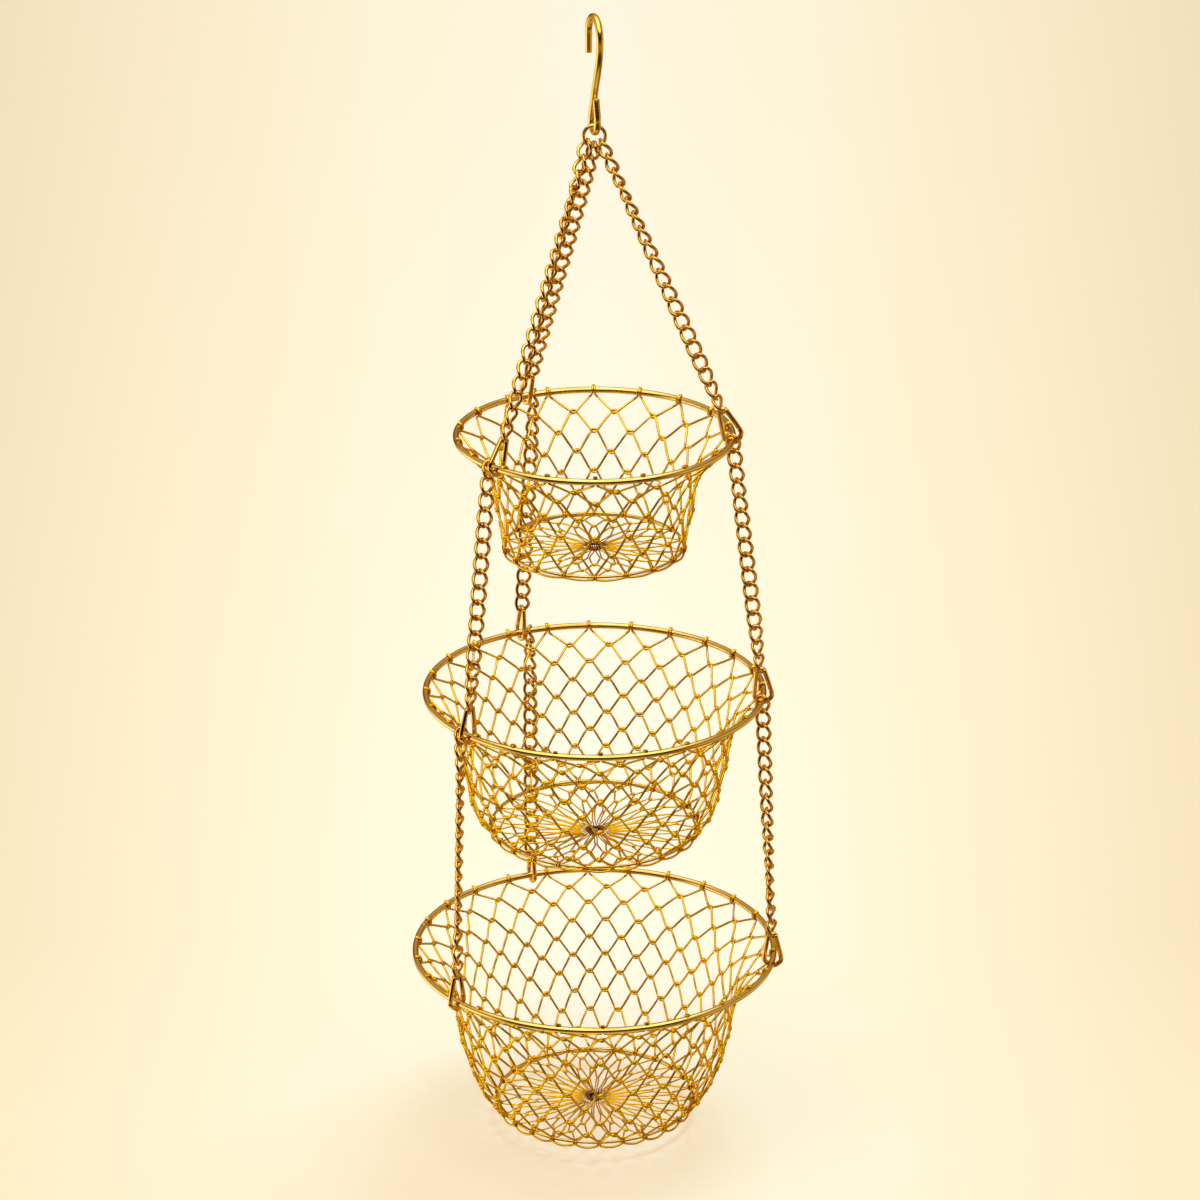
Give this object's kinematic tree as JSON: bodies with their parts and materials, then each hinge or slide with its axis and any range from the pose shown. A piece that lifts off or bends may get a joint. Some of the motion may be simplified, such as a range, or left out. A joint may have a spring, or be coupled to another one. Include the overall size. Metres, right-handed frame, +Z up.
{
  "type": "hanging fruit basket",
  "caption": "Hanging wire fruit basket: a bent wire hook, a ring and chains carry round flared baskets of knotted diamond mesh, one below the other, each larger than the one above.",
  "frame": {"origin": "inside top of the hook bend, the point that rests on the ceiling hook or rail", "axes": "+Z up along the hanging line, +X to the right-hand chain, +Y to the back"},
  "size_m": [0.2806, 0.2768, 0.8526],
  "materials": {
    "hook": "polished bright brass-plated wire",
    "chain": "polished brass-plated twist-link chain",
    "clips": "polished brass-plated wire, closed ends",
    "rims": "polished bright brass-plated round wire",
    "mesh_wire": "polished brass-plated knotted wire mesh"
  },
  "bodies": {
    "hook": {"hook": "hook"},
    "hanging_ring": {"hanging_ring": "hook"},
    "top_basket": {"top_rim": "rims", "top_wall_wires": "mesh_wire", "top_base_ring": "rims", "top_floor_wires": "mesh_wire", "top_hub": "mesh_wire", "upper_chain_right": "chain", "upper_chain_back": "chain", "upper_chain_front": "chain", "top_clip_right": "clips", "top_clip_back": "clips", "top_clip_front": "clips"},
    "middle_first_link_right": {"middle_first_link_right": "chain"},
    "middle_chain_right": {"middle_chain_right": "chain"},
    "middle_end_link_right": {"middle_end_link_right": "chain"},
    "middle_clip_right": {"middle_clip_right": "clips"},
    "middle_basket": {"middle_rim": "rims", "middle_wall_wires": "mesh_wire", "middle_base_ring": "rims", "middle_floor_wires": "mesh_wire", "middle_hub": "mesh_wire"},
    "middle_first_link_back": {"middle_first_link_back": "chain"},
    "middle_chain_back": {"middle_chain_back": "chain", "middle_clip_back": "clips"},
    "middle_first_link_front": {"middle_first_link_front": "chain"},
    "middle_chain_front": {"middle_chain_front": "chain", "middle_clip_front": "clips"},
    "bottom_first_link_right": {"bottom_first_link_right": "chain"},
    "bottom_chain_right": {"bottom_chain_right": "chain"},
    "bottom_end_link_right": {"bottom_end_link_right": "chain"},
    "bottom_clip_right": {"bottom_clip_right": "clips"},
    "bottom_basket": {"bottom_rim": "rims", "bottom_wall_wires": "mesh_wire", "bottom_base_ring": "rims", "bottom_floor_wires": "mesh_wire", "bottom_hub": "mesh_wire"},
    "bottom_first_link_back": {"bottom_first_link_back": "chain"},
    "bottom_chain_back": {"bottom_chain_back": "chain", "bottom_clip_back": "clips"},
    "bottom_first_link_front": {"bottom_first_link_front": "chain"},
    "bottom_chain_front": {"bottom_chain_front": "chain", "bottom_clip_front": "clips"}
  },
  "joints": [
    {"name": "ring_swing_in_eye", "type": "hinge", "parent": "hook", "child": "hanging_ring", "pos_m": [0, 0, -0.0795], "axis": [0.2924, -0.9563, 0], "range_deg": [-20, 20]},
    {"name": "chains_swing_on_ring", "type": "hinge", "parent": "hanging_ring", "child": "top_basket", "pos_m": [0, 0, -0.09035], "axis": [1, 0, 0], "range_deg": [-12, 12]},
    {"name": "middle_sway", "type": "hinge", "parent": "top_basket", "child": "middle_first_link_right", "pos_m": [0.09957, -0.00923, -0.30482], "axis": [0.0923, 0.9957, 0], "range_deg": [-4, 4]},
    {"name": "middle_chain_right_lean", "type": "hinge", "parent": "middle_first_link_right", "child": "middle_chain_right", "pos_m": [0.10069, -0.00934, -0.31382], "axis": [0.9957, -0.0923, 0], "range_deg": [-4.3, 4.3]},
    {"name": "middle_end_link_right_lean", "type": "hinge", "parent": "middle_chain_right", "child": "middle_end_link_right", "pos_m": [0.12059, -0.01118, -0.47358], "axis": [0.9957, -0.0923, 0], "range_deg": [-4.3, 4.3]},
    {"name": "middle_turn", "type": "hinge", "parent": "middle_end_link_right", "child": "middle_clip_right", "pos_m": [0.12178, -0.01129, -0.48313], "axis": [0, 0, 1], "range_deg": [-5, 5]},
    {"name": "middle_level", "type": "hinge", "parent": "middle_clip_right", "child": "middle_basket", "pos_m": [0.12447, -0.01154, -0.50471], "axis": [0.0923, 0.9957, 0], "range_deg": [-4, 4]},
    {"name": "middle_sway_back", "type": "hinge", "parent": "top_basket", "child": "middle_first_link_back", "pos_m": [-0.04494, 0.08933, -0.30482], "axis": [0.0923, 0.9957, 0], "range_deg": [-4, 4]},
    {"name": "middle_chain_back_lean", "type": "hinge", "parent": "middle_first_link_back", "child": "middle_chain_back", "pos_m": [-0.04547, 0.09033, -0.31382], "axis": [-0.454, 0.891, 0], "range_deg": [-3.8, 3.8]},
    {"name": "middle_sway_front", "type": "hinge", "parent": "top_basket", "child": "middle_first_link_front", "pos_m": [-0.07466, -0.06653, -0.30482], "axis": [0.0923, 0.9957, 0], "range_deg": [-4, 4]},
    {"name": "middle_chain_front_lean", "type": "hinge", "parent": "middle_first_link_front", "child": "middle_chain_front", "pos_m": [-0.07541, -0.06737, -0.31382], "axis": [-0.7314, -0.682, 0], "range_deg": [-3.8, 3.8]},
    {"name": "bottom_sway", "type": "hinge", "parent": "middle_basket", "child": "bottom_first_link_right", "pos_m": [0.12355, -0.01898, -0.50471], "axis": [0.1519, 0.9884, 0], "range_deg": [-4, 4]},
    {"name": "bottom_chain_right_lean", "type": "hinge", "parent": "bottom_first_link_right", "child": "bottom_chain_right", "pos_m": [0.12401, -0.01905, -0.51377], "axis": [0.9884, -0.1519, 0], "range_deg": [-4.4, 4.4]},
    {"name": "bottom_end_link_right_lean", "type": "hinge", "parent": "bottom_chain_right", "child": "bottom_end_link_right", "pos_m": [0.13282, -0.02041, -0.68604], "axis": [0.9884, -0.1519, 0], "range_deg": [-4.4, 4.4]},
    {"name": "bottom_turn", "type": "hinge", "parent": "bottom_end_link_right", "child": "bottom_clip_right", "pos_m": [0.13331, -0.02048, -0.69565], "axis": [0, 0, 1], "range_deg": [-5, 5]},
    {"name": "bottom_level", "type": "hinge", "parent": "bottom_clip_right", "child": "bottom_basket", "pos_m": [0.13442, -0.02065, -0.71737], "axis": [0.1519, 0.9884, 0], "range_deg": [-4, 4]},
    {"name": "bottom_sway_back", "type": "hinge", "parent": "middle_basket", "child": "bottom_first_link_back", "pos_m": [-0.04997, 0.11458, -0.50471], "axis": [0.1519, 0.9884, 0], "range_deg": [-4, 4]},
    {"name": "bottom_chain_back_lean", "type": "hinge", "parent": "bottom_first_link_back", "child": "bottom_chain_back", "pos_m": [-0.04996, 0.11509, -0.51377], "axis": [-0.3665, 0.9304, 0], "range_deg": [-3.8, 3.8]},
    {"name": "bottom_sway_front", "type": "hinge", "parent": "middle_basket", "child": "bottom_first_link_front", "pos_m": [-0.09637, -0.07962, -0.50471], "axis": [0.1519, 0.9884, 0], "range_deg": [-4, 4]},
    {"name": "bottom_chain_front_lean", "type": "hinge", "parent": "bottom_first_link_front", "child": "bottom_chain_front", "pos_m": [-0.0966, -0.08006, -0.51377], "axis": [-0.749, -0.6626, 0], "range_deg": [-3.8, 3.8]}
  ],
  "couplings": [
    {"joint": "middle_chain_right_lean", "follows": "middle_turn", "ratio": 0.76555},
    {"joint": "middle_end_link_right_lean", "follows": "middle_turn", "ratio": -0.76555},
    {"joint": "middle_level", "follows": "middle_sway", "ratio": -0.8},
    {"joint": "middle_sway_back", "follows": "middle_sway", "ratio": 1},
    {"joint": "middle_chain_back_lean", "follows": "middle_turn", "ratio": 0.65483},
    {"joint": "middle_sway_front", "follows": "middle_sway", "ratio": 1},
    {"joint": "middle_chain_front_lean", "follows": "middle_turn", "ratio": 0.65483},
    {"joint": "bottom_chain_right_lean", "follows": "bottom_turn", "ratio": 0.78294},
    {"joint": "bottom_end_link_right_lean", "follows": "bottom_turn", "ratio": -0.78294},
    {"joint": "bottom_level", "follows": "bottom_sway", "ratio": -0.91912},
    {"joint": "bottom_sway_back", "follows": "bottom_sway", "ratio": 1},
    {"joint": "bottom_chain_back_lean", "follows": "bottom_turn", "ratio": 0.66796},
    {"joint": "bottom_sway_front", "follows": "bottom_sway", "ratio": 1},
    {"joint": "bottom_chain_front_lean", "follows": "bottom_turn", "ratio": 0.66796}
  ]
}
